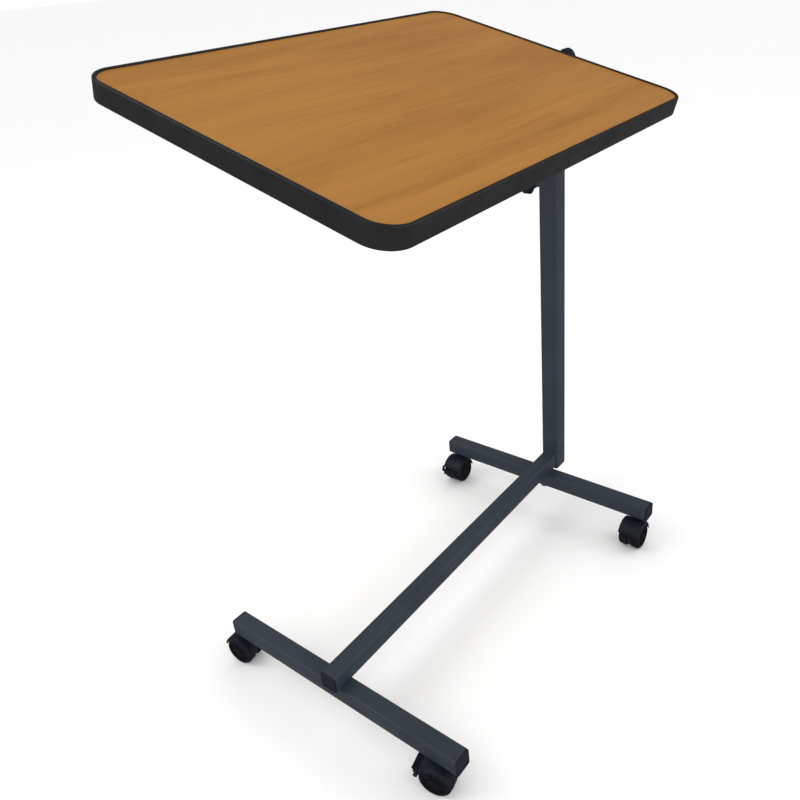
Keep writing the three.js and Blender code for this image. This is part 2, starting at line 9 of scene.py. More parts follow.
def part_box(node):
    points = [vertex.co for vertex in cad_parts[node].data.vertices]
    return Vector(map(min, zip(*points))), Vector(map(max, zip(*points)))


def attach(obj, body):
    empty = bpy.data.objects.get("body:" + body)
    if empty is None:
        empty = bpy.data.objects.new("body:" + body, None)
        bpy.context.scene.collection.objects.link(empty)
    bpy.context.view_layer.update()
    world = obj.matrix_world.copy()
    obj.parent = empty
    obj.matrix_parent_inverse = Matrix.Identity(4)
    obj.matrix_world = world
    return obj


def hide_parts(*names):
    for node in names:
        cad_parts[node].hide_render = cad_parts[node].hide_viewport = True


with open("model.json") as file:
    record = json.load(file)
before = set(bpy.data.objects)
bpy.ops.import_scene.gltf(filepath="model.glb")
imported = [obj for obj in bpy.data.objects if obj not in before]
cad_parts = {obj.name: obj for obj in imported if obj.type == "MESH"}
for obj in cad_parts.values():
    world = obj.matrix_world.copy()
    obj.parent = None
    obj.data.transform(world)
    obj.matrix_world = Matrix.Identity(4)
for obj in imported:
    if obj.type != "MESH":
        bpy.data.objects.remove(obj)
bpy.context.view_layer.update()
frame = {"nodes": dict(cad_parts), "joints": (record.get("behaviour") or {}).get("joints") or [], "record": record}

MM = 0.001
RECORD = frame["record"]
JOINTS = {joint["name"]: joint for joint in frame["joints"]}
BODY_OF = {node: body for body, nodes in RECORD["behaviour"]["bodies"].items() for node in nodes}
SLOT_OF = {part["node"]: part["material_slot"] for part in RECORD["subparts"]}
WORLD = Matrix.Identity(4)
SHARP_ANGLE = radians(38)

# The gap left between parts that are pressed, glued or slid together.
FIT = 0.3 * MM
M8_RADIUS = 4 * MM
M8_HOLE = M8_RADIUS + FIT


# ------------------------------------------------------------------ materials


class Shader:
    """A Principled material with shorthand calls for wiring its nodes."""

    def __init__(self, name):
        self.material = bpy.data.materials.new(name)
        self.material.use_nodes = True
        self.tree = self.material.node_tree
        self.bsdf = self.tree.nodes["Principled BSDF"]
        self.place = self.node("ShaderNodeTexCoord").outputs["Object"]

    def node(self, kind, inputs=None, **settings):
        made = self.tree.nodes.new(kind)
        for key, value in settings.items():
            setattr(made, key, value)
        for key, value in (inputs or {}).items():
            self.set(made.inputs[key], value)
        return made

    def set(self, socket, value):
        if isinstance(value, bpy.types.NodeSocket):
            self.tree.links.new(value, socket)
        else:
            socket.default_value = value

    def stretched(self, scale, at=None):
        """The object coordinates, scaled along each axis."""
        return self.node("ShaderNodeMapping", {"Vector": at or self.place, "Scale": scale}).outputs[0]

    def noise(self, scale, detail=4.0, roughness=0.5, distortion=0.0, at=None):
        inputs = {
            "Vector": at or self.place,
            "Scale": scale,
            "Detail": detail,
            "Roughness": roughness,
            "Distortion": distortion,
        }
        return self.node("ShaderNodeTexNoise", inputs).outputs["Fac"]

    def remap(self, value, low, high, to_low=0.0, to_high=1.0):
        inputs = {"Value": value, "From Min": low, "From Max": high, "To Min": to_low, "To Max": to_high}
        return self.node("ShaderNodeMapRange", inputs).outputs[0]

    def maths(self, operation, a, b=0.0):
        made = self.node("ShaderNodeMath", operation=operation)
        self.set(made.inputs[0], a)
        self.set(made.inputs[1], b)
        return made.outputs[0]

    def mix(self, factor, a, b):
        made = self.node("ShaderNodeMix", data_type="RGBA")
        self.set(made.inputs[0], factor)
        self.set(made.inputs[6], a)
        self.set(made.inputs[7], b)
        return made.outputs[2]

    def bump(self, height, distance, strength=1.0):
        inputs = {"Height": height, "Distance": distance, "Strength": strength}
        return self.node("ShaderNodeBump", inputs).outputs[0]

    def edges(self, radius):
        """0 on flat faces, towards 1 where a rounded normal leans away from the real one."""
        soft = self.node("ShaderNodeBevel", {"Radius": radius}, samples=4).outputs[0]
        lean = self.node("ShaderNodeVectorMath", operation="DOT_PRODUCT")
        self.set(lean.inputs[0], soft)
        self.set(lean.inputs[1], self.node("ShaderNodeNewGeometry").outputs["Normal"])
        return self.remap(self.maths("SUBTRACT", 1.0, lean.outputs["Value"]), 0.04, 0.35)

    def wear(self, radius, patchiness):
        """Edge wear broken up into patches."""
        patches = self.remap(self.noise(patchiness, detail=6), 0.45, 0.7)
        return self.maths("MULTIPLY", self.edges(radius), patches)

    def out(self, color, roughness, metallic=0.0, normal=None, specular=0.5):
        self.set(self.bsdf.inputs["Base Color"], color)
        self.set(self.bsdf.inputs["Roughness"], roughness)
        self.set(self.bsdf.inputs["Metallic"], metallic)
        self.set(self.bsdf.inputs["Specular IOR Level"], specular)
        if normal is not None:
            self.set(self.bsdf.inputs["Normal"], normal)
        return self.material


def rgb(red, green, blue):
    """A linear colour from 8-bit sRGB values."""
    channels = []
    for value in (red, green, blue):
        share = value / 255
        channels.append(share / 12.92 if share <= 0.04045 else ((share + 0.055) / 1.055) ** 2.4)
    return (*channels, 1.0)


def slate_paint():
    s = Shader("slate_powder_coat")
    cloud = s.noise(9, detail=3)
    speck = s.noise(1400, detail=2)
    base = s.mix(s.remap(cloud, 0.3, 0.7), rgb(42, 51, 62), rgb(50, 59, 70))
    base = s.mix(s.remap(speck, 0.62, 0.75, 0, 0.3), base, rgb(74, 84, 95))
    base = s.mix(s.maths("MULTIPLY", s.wear(0.0012, 60), 0.5), base, rgb(96, 104, 114))
    smudge = s.remap(s.noise(24, detail=6, distortion=0.6), 0.3, 0.7, 0.36, 0.5)
    peel = s.bump(s.noise(650, detail=2), 0.00006, 0.5)
    return s.out(base, smudge, normal=peel)


def wood_laminate():
    """A printed wood grain running the long way, with soft bands, fine streaks and short pores."""
    s = Shader("wood_grain_laminate")
    warp = s.noise(2.2, detail=2, at=s.stretched((1, 3, 1)))
    bend = s.node("ShaderNodeCombineXYZ", {"Y": s.remap(warp, 0, 1, -0.02, 0.02)}).outputs[0]
    shifted = s.node("ShaderNodeVectorMath", operation="ADD")
    s.set(shifted.inputs[0], s.place)
    s.set(shifted.inputs[1], bend)

    def streaks(along, across, scale, detail, distortion=0.0):
        place = s.stretched((along, across, across), at=shifted.outputs[0])
        return s.noise(scale, detail=detail, roughness=0.6, distortion=distortion, at=place)

    bands = streaks(0.5, 6, 4.2, 3, distortion=0.5)
    fine = streaks(1.2, 30, 7, 6)
    hair = streaks(5, 210, 5, 3)
    pores = streaks(14, 260, 4, 2)
    patches = s.noise(3.4, detail=3, at=s.stretched((0.9, 2.2, 1)))

    base = s.mix(s.remap(bands, 0.32, 0.68), rgb(157, 101, 28), rgb(175, 118, 38))
    base = s.mix(s.remap(patches, 0.3, 0.72, 0, 0.5), base, rgb(184, 127, 47))
    base = s.mix(s.remap(fine, 0.5, 0.72, 0, 0.4), base, rgb(138, 86, 28))
    base = s.mix(s.remap(hair, 0.54, 0.7, 0, 0.22), base, rgb(190, 137, 60))
    base = s.mix(s.remap(pores, 0.64, 0.74, 0, 0.4), base, rgb(120, 72, 26))
    sheen = s.remap(s.noise(40, detail=5), 0.3, 0.7, 0.38, 0.48)
    return s.out(base, sheen, normal=s.bump(pores, 0.00008, 0.3))


def backing_board():
    s = Shader("chipboard_backing")
    fleck = s.noise(260, detail=5, roughness=0.7)
    cloud = s.noise(14, detail=4)
    base = s.mix(s.remap(fleck, 0.4, 0.62), rgb(150, 118, 80), rgb(186, 156, 114))
    base = s.mix(s.remap(cloud, 0.35, 0.7, 0, 0.3), base, rgb(134, 104, 70))
    return s.out(base, 0.8, normal=s.bump(fleck, 0.0002, 0.4))


def dark_plastic(name, colour, light, worn, grain):
    s = Shader(name)
    base = s.mix(s.remap(s.noise(30, detail=4), 0.3, 0.7), colour, light)
    base = s.mix(s.maths("MULTIPLY", s.wear(0.0008, 120), 0.4), base, worn)
    shine = s.remap(s.noise(55, detail=5), 0.3, 0.7, 0.39, 0.53)
    return s.out(base, shine, normal=s.bump(s.noise(grain, detail=3), 0.00005, 0.5), specular=0.3)


def tyre_rubber():
    s = Shader("caster_tyre")
    dust = s.noise(160, detail=6, roughness=0.65)
    base = s.mix(s.remap(dust, 0.45, 0.75, 0, 0.45), rgb(16, 18, 26), rgb(40, 43, 51))
    return s.out(base, 0.7, normal=s.bump(s.noise(900), 0.00006, 0.5), specular=0.2)


def zinc_steel():
    s = Shader("zinc_plate")
    brushed = s.noise(60, detail=4, at=s.stretched((40, 40, 2)))
    bloom = s.noise(90, detail=5, distortion=0.8)
    base = s.mix(s.remap(bloom, 0.35, 0.7), rgb(150, 153, 158), rgb(188, 190, 192))
    return s.out(base, s.remap(brushed, 0.3, 0.7, 0.28, 0.44), 1.0, s.bump(brushed, 0.00003, 0.3))


BAND_TONES = rgb(29, 29, 32), rgb(36, 36, 38), rgb(72, 72, 75)
PLASTIC_TONES = rgb(17, 22, 33), rgb(24, 30, 43), rgb(58, 63, 76)

LOOKS = {
    "slate_paint": slate_paint(),
    "laminate": wood_laminate(),
    "chipboard": backing_board(),
    "edge_band": dark_plastic("edge_band_pvc", *BAND_TONES, grain=700),
    "black_plastic": dark_plastic("moulded_plastic", *PLASTIC_TONES, grain=900),
    "tyre": tyre_rubber(),
    "zinc_steel": zinc_steel(),
}


# ------------------------------------------------------------------ places taken from the CAD


def local_box(node, place=WORLD):
    """Lowest and highest corner of a CAD node, measured in the frame `place`."""
    inverse = place.inverted()
    points = [inverse @ vertex.co for vertex in frame["nodes"][node].data.vertices]
    low = Vector([min(point[i] for point in points) for i in range(3)])
    high = Vector([max(point[i] for point in points) for i in range(3)])
    return low, high


def facing(origin, direction):
    """A frame at `origin` whose z axis points along `direction`."""
    return Matrix.Translation(origin) @ Vector(direction).to_track_quat("Z", "Y").to_matrix().to_4x4()


def top_place():
    """Frame of the tilting top: origin on the tilt axis, z square to the laminate."""
    normal = RECORD["mounts"][0]["axis"]
    tilt = atan2(normal[1], normal[2])
    return Matrix.Translation(JOINTS["top_tilt"]["pos_m"]) @ Matrix.Rotation(-tilt, 4, "X")


def caster_place(corner):
    """Frame of a caster: origin on the floor under its swivel, y along its axle."""
    axle = JOINTS[f"{corner}_wheel_left_spin"]["axis"]
    swivel = JOINTS[f"{corner}_swivel"]["pos_m"]
    turn = Matrix.Rotation(atan2(-axle[0], axle[1]), 4, "Z")
    return Matrix.Translation((swivel[0], swivel[1], 0)) @ turn


def span(node, axis, place=WORLD, backwards=False):
    """A frame at one end of a node, looking along one of its axes, with its length and its width."""
    low, high = local_box(node, place)
    start = (low + high) / 2
    start[axis] = high[axis] if backwards else low[axis]
    direction = Vector((0, 0, 0))
    direction[axis] = -1 if backwards else 1
    width = min(high[i] - low[i] for i in range(3) if i != axis)
    return place @ facing(start, direction), high[axis] - low[axis], width


TOP = top_place()


# ------------------------------------------------------------------ mesh building


def arc(x, y, radius, start, end, steps=6):
    """Points along an arc, with its angles in degrees."""
    angles = [radians(start + (end - start) * i / steps) for i in range(steps + 1)]
    return [(x + radius * cos(angle), y + radius * sin(angle)) for angle in angles]


def rounded_rectangle(width, height, radius, steps=6):
    """Points round a rectangle with arcs at its corners, anticlockwise."""
    points = []
    for quarter, (sx, sy) in enumerate(((1, 1), (-1, 1), (-1, -1), (1, -1))):
        centre = (sx * (width / 2 - radius), sy * (height / 2 - radius))
        points += arc(*centre, radius, 90 * quarter, 90 * quarter + 90, steps)
    return points


def split_sides(outline, parts, steps=6):
    """A rounded rectangle with extra points along its straight sides."""
    points = []
    for i, (start, end) in enumerate(zip(outline, outline[1:] + outline[:1])):
        count = parts if i % (steps + 1) == steps else 1
        points += [tuple(Vector(start).lerp(Vector(end), j / count)) for j in range(count)]
    return points


def circle(radius, steps=48):
    return arc(0, 0, radius, 0, 360 * (steps - 1) / steps, steps - 1)


def star(radius, lobes, depth, inset, steps=120):
    """A knob's lobed outline, drawn in by `inset`. Its hollows are twice the depth inside the radius."""
    points = []
    for i in range(steps):
        angle = 2 * pi * i / steps
        reach = radius - depth + depth * cos(lobes * angle) - inset
        points.append((reach * cos(angle), reach * sin(angle)))
    return points


def at_height(outline, z):
    return [(x, y, z) for x, y in outline]


def loft(bm, rings, looped=False):
    """Skins a row of rings that have the same number of points, and caps the ends unless looped."""
    made = [[bm.verts.new(point) for point in ring] for ring in rings]
    pairs = list(zip(made, made[1:])) + ([(made[-1], made[0])] if looped else [])
    for first, second in pairs:
        for i in range(len(first)):
            j = (i + 1) % len(first)
            bm.faces.new((first[i], first[j], second[j], second[i]))
    if not looped:
        bm.faces.new(made[0][::-1])
        bm.faces.new(made[-1])


def revolve(bm, profile, steps=64, looped=False):
    """Turns a profile of (radius, z) points round the z axis."""
    loft(bm, [at_height(circle(radius, steps), z) for radius, z in profile], looped)


def moved(bm, place, build):
    """Runs a build function on a scratch mesh and adds the result to `bm` at `place`."""
    scratch = bmesh.new()
    build(scratch)
    bmesh.ops.transform(scratch, matrix=place, verts=scratch.verts)
    mesh = bpy.data.meshes.new("scratch")
    scratch.to_mesh(mesh)
    scratch.free()
    bm.from_mesh(mesh)
    bpy.data.meshes.remove(mesh)


def piece(name, bm, place, *nodes, like=None, bevel=0.0):
    """Makes a named piece that stands for CAD nodes, or that only goes with the node `like`."""
    source = like or nodes[0]
    bmesh.ops.recalc_face_normals(bm, faces=bm.faces)
    mesh = bpy.data.meshes.new(name)
    bm.to_mesh(mesh)
    bm.free()
    mesh.transform(place)
    mesh.shade_smooth()
    mesh.set_sharp_from_angle(angle=SHARP_ANGLE)
    made = bpy.data.objects.new(name, mesh)
    bpy.context.scene.collection.objects.link(made)
    made.data.materials.append(LOOKS[SLOT_OF[source]])
    if bevel:
        rounding = made.modifiers.new("rounding", "BEVEL")
        rounding.width = bevel
        rounding.segments = 3
        rounding.limit_method = "ANGLE"
        rounding.angle_limit = SHARP_ANGLE
        rounding.harden_normals = True
    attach(made, BODY_OF[source])
    if nodes:
        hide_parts(*nodes)


# ------------------------------------------------------------------ tubes, plugs, rings and welds

TUBE_CORNER = 2.5 * MM
TUBE_WALL = 1.5 * MM
PLUG_FLANGE = 3 * MM

# A weld bead swells by this share of its radius, in a wave that turns this many radians per point.
RIPPLE_DEPTH = 0.16
RIPPLE_STEP = 2.1


def square_tube(name, node, axis):
    place, length, side = span(node, axis)
    bore = side - 2 * TUBE_WALL
    outer = rounded_rectangle(side, side, TUBE_CORNER)
    inner = rounded_rectangle(bore, bore, TUBE_CORNER - TUBE_WALL)
    rings = [at_height(outer, 0), at_height(outer, length), at_height(inner, length), at_height(inner, 0)]
    bm = bmesh.new()
    loft(bm, rings, looped=True)
    piece(name, bm, place, node, bevel=0.3 * MM)


def end_plug(name, node, axis, backwards=False):
    """A soft-edged square flange with a shallow dish, on a spigot that goes into the tube."""
    place, length, side = span(node, axis, backwards=backwards)
    seat = length - PLUG_FLANGE
    soft = 1.2 * MM
    spigot = side - 2 * TUBE_WALL - 2 * FIT
    dish = side - 8 * MM
    floor = length - 0.5 * MM
    steps = [(spigot, 0), (spigot, seat), (side, seat)]
    steps += [(side - 2 * (soft - x), length - soft + z) for x, z in arc(0, 0, soft, 0, 90, 4)]
    steps += [(dish, length), (dish - 1 * MM, floor), (2 * MM, floor)]
    bm = bmesh.new()
    loft(bm, [at_height(rounded_rectangle(size, size, 0.12 * size), z) for size, z in steps])
    piece(name, bm, place, node)


def turned(name, node, axis, profile, place=WORLD, looped=True, steps=64):
    """Turns a profile, worked out from the node's length, round the middle line of the node."""
    seat, length, _ = span(node, axis, place)
    bm = bmesh.new()
    revolve(bm, profile(length), steps, looped)
    piece(name, bm, seat, node)


def broken_ring(outer, inner, edge):
    """The profile of a ring with its four edges broken, as a function of its length."""

    def profile(length):
        start = [(inner, edge), (inner + edge, 0), (outer - edge, 0), (outer, edge)]
        end = [(outer, length - edge), (outer - edge, length), (inner + edge, length), (inner, length - edge)]
        return start + end

    return profile


def bead(name, path, square_to, radius, like, closed=True):
    """A rippled weld bead along a path. `square_to` is a direction that the path never runs along."""
    last = len(path) - 1
    rings = []
    for i, point in enumerate(path):
        behind = path[i - 1] if closed or i > 0 else point
        ahead = path[(i + 1) % len(path)] if closed or i < last else point
        along = (ahead - behind).normalized()
        side = along.cross(square_to).normalized()
        up = side.cross(along)
        swell = radius * (1 + RIPPLE_DEPTH * sin(RIPPLE_STEP * i))
        rings.append([point + side * x * swell + up * y * swell for x, y in circle(1, 10)])
    bm = bmesh.new()
    loft(bm, rings, closed)
    piece(name, bm, WORLD, like=like)


# ------------------------------------------------------------------ base


def base():
    for end in ("front", "rear"):
        square_tube(f"{end}_crossbar_tube", f"{end}_crossbar", 1)
        end_plug(f"{end}_crossbar_cap_left", f"{end}_crossbar_plug_left", 1, backwards=True)
        end_plug(f"{end}_crossbar_cap_right", f"{end}_crossbar_plug_right", 1)
        spine_bolt(end)
        ring = broken_ring(9 * MM, M8_HOLE, 0.3 * MM)
        turned(f"{end}_flat_washer", f"{end}_spine_bolt_washer", 2, ring)
    square_tube("spine_square_tube", "spine_tube", 0)
    end_plug("spine_cap", "spine_end_plug", 0)

    low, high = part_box("spine_tube")
    centre = (low + high) / 2
    outline = split_sides(rounded_rectangle(high.y - low.y, high.z - low.z, TUBE_CORNER), 12)
    path = [Vector((low.x, centre.y + y, centre.z + z)) for y, z in outline]
    bead("spine_weld", path, Vector((1, 0, 0)), 1.5 * MM, "spine_tube")


def spine_bolt(end):
    """A hexagon head under the crossbar with a round shank above it."""
    node = f"{end}_spine_bolt"
    place, length, flats = span(node, 2)
    head = 5.3 * MM
    shank = M8_RADIUS
    hexagon = circle(flats / sqrt(3), 6)
    bm = bmesh.new()
    loft(bm, [at_height(hexagon, 0), at_height(hexagon, head)])
    revolve(bm, [(shank, head), (shank, length - 1 * MM), (shank - 1 * MM, length)], 32)
    piece(f"{end}_hex_bolt", bm, place, node, bevel=0.5 * MM)


# ------------------------------------------------------------------ casters

# Where the hood starts and ends, in degrees round the axle, up from the caster frame's +x.
HOOD_FROM, HOOD_TO = 8, 154

# Where the brake rocker's toes point, in the same degrees.
LOWER_TOE, UPPER_TOE = -145, 165

AXLE_RADIUS = 3 * MM
AXLE_BORE = AXLE_RADIUS + FIT
WEB_HALF = 3 * MM


def caster(corner):
    place = caster_place(corner)
    low, high = local_box(f"{corner}_caster_wheel_left", place)
    hub = Vector(((low.x + high.x) / 2, 0, high.z / 2))
    width = high.y - low.y
    inner_face = low.y
    for side, sign in (("left", 1), ("right", -1)):
        outwards = facing((hub.x, sign * inner_face, hub.z), (0, sign, 0))
        wheel(f"{corner}_{side}_wheel", f"{corner}_caster_wheel_{side}", place @ outwards, hub.z, width)
    hood(corner, place, hub)
    turned(f"{corner}_axle_pin", f"{corner}_caster_axle", 1, axle_pin, place, looped=False, steps=32)
    stem(corner)
    if f"{corner}_caster_brake_pedal" in frame["nodes"]:
        brake_rocker(corner, place)


def wheel(name, node, seat, radius, width):
    """Half of a twin wheel: a tread with a rounded shoulder, and a dished face with ribs and a hub cap."""
    shoulder = 4.2 * MM
    shy = width - 0.3 * MM
    dish = width - 2 * MM
    rim, hub = radius - 6.2 * MM, 6 * MM
    edge = 1.2 * MM
    profile = [(AXLE_BORE, 0)] + arc(radius - edge, edge, edge, -90, 0, 4)
    profile += arc(radius - shoulder, width - shoulder, shoulder, 0, 90, 7)
    profile += [(rim + 0.8 * MM, width), (rim + 0.2 * MM, width - 0.4 * MM), (rim, dish), (hub, dish)]
    profile += [(hub - 0.3 * MM, shy - 0.5 * MM), (hub - 1 * MM, shy), (0.3 * MM, shy)]
    profile += [(0.3 * MM, shy - 0.4 * MM), (AXLE_BORE, shy - 0.4 * MM)]
    rib = rounded_rectangle(rim - hub + 1 * MM, 2.2 * MM, 0.6 * MM, 3)
    rib_base, rib_top = dish - 0.4 * MM, dish + 1 * MM
    bm = bmesh.new()
    revolve(bm, profile, 72, looped=True)
    for i in range(6):
        spoke = Matrix.Rotation(pi * i / 3, 4, "Z") @ Matrix.Translation(((rim + hub) / 2, 0, 0))
        moved(bm, spoke, lambda scratch: loft(scratch, [at_height(rib, rib_base), at_height(rib, rib_top)]))
    piece(name, bm, seat, node)


def hood_section(inner, outer, half):
    """A cut through the hood, as (across, reach) points: its edges curl over the wheels' shoulders."""
    curl, skin = 3.4 * MM, 1.4 * MM
    turn, bend = half - curl, outer - curl
    edge = bend - 0.6 * MM
    right = arc(turn, bend, curl, 90, 0, 6)
    right += [(half, edge), (half - skin, edge)]
    right += arc(turn, bend, curl - skin, 0, 60, 4)
    right += [(turn - 1.5 * MM, inner)]
    left = [(-across, reach) for across, reach in reversed(right)]
    return right + left


def hood(corner, place, hub):
    """An arch over the wheels, a web between them, and a barrel that takes the stem."""
    node = f"{corner}_caster_hood"
    low, high = local_box(node, place)
    half = (high.y - low.y) / 2
    radius = hub.z
    section = hood_section(radius + 1.2 * MM, radius + 3.4 * MM, half)
    rings = []
    for x, z in arc(0, 0, 1, HOOD_FROM, HOOD_TO, 36):
        rings.append([(hub.x + reach * x, across, hub.z + reach * z) for across, reach in section])
    bm = bmesh.new()
    loft(bm, rings)

    barrel, soft, top = 9 * MM, 1.2 * MM, high.z
    foot, dish = radius + 9 * MM, top - 0.8 * MM
    collar = [(barrel, foot)] + arc(barrel - soft, top - soft, soft, 0, 90, 4)
    collar += [(5 * MM, top), (4.4 * MM, dish), (0.5 * MM, dish)]
    revolve(bm, collar, 48)

    rim = radius - 2 * MM
    disc = [(AXLE_BORE, 0), (rim, 0), (rim, 2 * WEB_HALF), (AXLE_BORE, 2 * WEB_HALF)]
    seat = facing((hub.x, -WEB_HALF, hub.z), (0, 1, 0))
    moved(bm, seat, lambda scratch: revolve(scratch, disc, 64, looped=True))

    crown = [(hub.x + x, hub.z + z) for x, z in arc(0, 0, radius + 2 * MM, HOOD_FROM, HOOD_TO, 24)]
    crown += [(hub.x + x, hub.z + z) for x, z in arc(0, 0, radius - 4 * MM, HOOD_TO, HOOD_FROM, 24)]
    loft(bm, [[(x, y, z) for x, z in crown] for y in (-WEB_HALF, WEB_HALF)])
    if f"{corner}_caster_brake_pedal" in frame["nodes"]:
        brake_ears(bm, pedal_pivot(corner, place), half)
    piece(f"{corner}_hood", bm, place, node)


def pedal_pivot(corner, place):
    return place.inverted() @ Vector(JOINTS[f"{corner}_brake_press"]["pos_m"])


def brake_ears(bm, pivot, half):
    """The two lugs at the back rim of the hood that hold the rocker's pins."""
    thick, eye, top = 2.4 * MM, 3 * MM, 7.5 * MM
    outline = arc(0, 0, eye, 180, 360, 10) + [(eye, top), (0.4 * MM, top)]
    for y in (-half, half - thick):
        loft(bm, [[(pivot.x + x, y + depth, pivot.z + z) for x, z in outline] for depth in (0, thick)])


def brake_rocker(corner, place):
    """A rod across the back of the caster with an upper and a lower toe."""
    node = f"{corner}_caster_brake_pedal"
    pin = local_box(node, place)[1].y
    rod = pin - 2 * MM
    bm = bmesh.new()
    for radius, reach in ((2 * MM, rod), (1.2 * MM, pin)):
        profile = [(radius, 0), (radius, 2 * reach)]
        moved(bm, facing((0, -reach, 0), (0, 1, 0)), lambda scratch: revolve(scratch, profile, 24))
    for degrees in (LOWER_TOE, UPPER_TOE):
        moved(bm, Matrix.Rotation(radians(-degrees), 4, "Y"), toe)
    piece(f"{corner}_brake_rocker", bm, place @ Matrix.Translation(pedal_pivot(corner, place)), node)


def toe(bm):
    """A rounded plate along +x that thins towards its tip, with ridges across both faces."""
    foot, crest = 1 * MM, 1.35 * MM
    rings = []
    # Place along the toe, width and thickness, in millimetres.
    for x, width, thick in ((-1, 22, 2.2), (2, 25, 2.2), (6, 26, 2), (7.5, 25.4, 1.6), (8, 24, 1)):
        outline = rounded_rectangle(width * MM, thick * MM, 0.45 * thick * MM, 4)
        rings.append([(x * MM, y, z) for y, z in outline])
    loft(bm, rings)
    ridge = rounded_rectangle(20 * MM, 0.8 * MM, 0.35 * MM, 3)
    for x in (2.6, 4.4, 6.2):
        for side in (-0.8, 0.8):
            loft(bm, [[(x * MM + dx, y, side * z) for y, dx in ridge] for z in (foot, crest)])


def axle_pin(length):
    radius, edge = AXLE_RADIUS, 0.7 * MM
    start = [(1 * MM, 0), (radius - edge, 0), (radius, edge)]
    return start + [(radius, length - edge), (radius - edge, length), (1 * MM, length)]


def stem(corner):
    """Plated stem with a flange that the hood turns against."""
    low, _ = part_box(f"{corner}_caster_stem")
    end = corner.split("_")[0]
    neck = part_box(f"{end}_crossbar")[0].z - low.z
    shaft, flange, thick, edge = 4 * MM, 7 * MM, 2.9 * MM, 0.5 * MM

    def profile(length):
        foot = [(1 * MM, 0), (shaft - edge, 0), (shaft, edge), (shaft, neck - thick)]
        disc = [(flange - edge, neck - thick), (flange, neck - thick + edge), (flange, neck), (shaft, neck)]
        return foot + disc + [(shaft, length - edge), (shaft - edge, length), (1 * MM, length)]

    turned(f"{corner}_stem_pin", f"{corner}_caster_stem", 2, profile, looped=False, steps=48)


# ------------------------------------------------------------------ mast

BAR_RADIUS = 10 * MM
SLEEVE_RADIUS = 13 * MM
BOSS_RADIUS = 9 * MM
HEIGHT_KNOB = {"radius": 21 * MM, "hub": 6 * MM, "lobes": 5, "depth": 2.7 * MM}
TILT_KNOB = {"radius": 28 * MM, "hub": 8 * MM, "lobes": 3, "depth": 7.5 * MM, "turned_by": 72}


def mast():
    square_tube("mast_outer_square_tube", "mast_outer_tube", 2)
    end_plug("mast_foot_cap", "mast_foot_plug", 2, backwards=True)
    guide_cap()
    inner_mast()
    turned("tilt_sleeve_tube", "tilt_sleeve", 0, broken_ring(SLEEVE_RADIUS, BAR_RADIUS + FIT, 0.6 * MM))
    turned("clamp_boss", "height_clamp_boss", 1, broken_ring(BOSS_RADIUS, M8_HOLE, 0.6 * MM))
    low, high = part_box("height_clamp_boss")
    centre = (low + high) / 2
    path = [Vector((centre.x + x, high.y, centre.z + z)) for x, z in circle(BOSS_RADIUS, 40)]
    bead("clamp_boss_weld", path, Vector((0, 1, 0)), 1.2 * MM, "height_clamp_boss")


def guide_cap():
    """A cap over the outer tube, with the inner tube passing through its window."""
    place, height, side = span("mast_guide_collar", 2)
    inner_low, inner_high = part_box("mast_inner_tube")
    window = inner_high.x - inner_low.x + 2 * FIT
    wall = 2.2 * MM
    room = side - 2 * wall
    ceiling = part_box("mast_outer_tube")[1].z - place.translation.z + FIT
    # Width, corner radius in millimetres and height.
    rings = [
        (side - 1 * MM, 3.5, 0),
        (side, 4, 0.5 * MM),
        (side, 4, height - 1.8 * MM),
        (side - 0.5 * MM, 3.8, height - 0.7 * MM),
        (side - 1.8 * MM, 3.4, height),
        (window + 1 * MM, 3, height),
        (window, 2.8, height - 0.5 * MM),
        (window, 2.8, ceiling),
        (room, 2.8, ceiling),
        (room, 2.8, 0),
    ]
    rings = [at_height(rounded_rectangle(size, size, corner * MM), z) for size, corner, z in rings]
    bm = bmesh.new()
    loft(bm, rings, looped=True)
    piece("mast_guide_cap", bm, place, "mast_guide_collar")


def inner_mast():
    """The inner tube, its top hollowed to fit under the tilt sleeve and welded to it."""
    low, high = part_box("mast_inner_tube")
    sleeve_low, sleeve_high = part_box("tilt_sleeve")
    axis_z = (sleeve_low.z + sleeve_high.z) / 2
    reach = (sleeve_high.z - sleeve_low.z) / 2 + FIT
    centre = (low + high) / 2
    side = high.x - low.x
    bore = side - 2 * TUBE_WALL

    def ring(size, corner, coped):
        outline = split_sides(rounded_rectangle(size, size, corner), 14)
        heights = [axis_z - sqrt(reach**2 - y**2) if coped else low.z for _, y in outline]
        return [Vector((centre.x + x, centre.y + y, z)) for (x, y), z in zip(outline, heights)]

    outer = (side, TUBE_CORNER)
    inner = (bore, TUBE_CORNER - TUBE_WALL)
    rings = [ring(*outer, False), ring(*outer, True), ring(*inner, True), ring(*inner, False)]
    bm = bmesh.new()
    loft(bm, rings, looped=True)
    piece("mast_inner_square_tube", bm, WORLD, "mast_inner_tube")
    bead("tilt_sleeve_weld", ring(*outer, True), Vector((0, 0, 1)), 1.1 * MM, "tilt_sleeve")


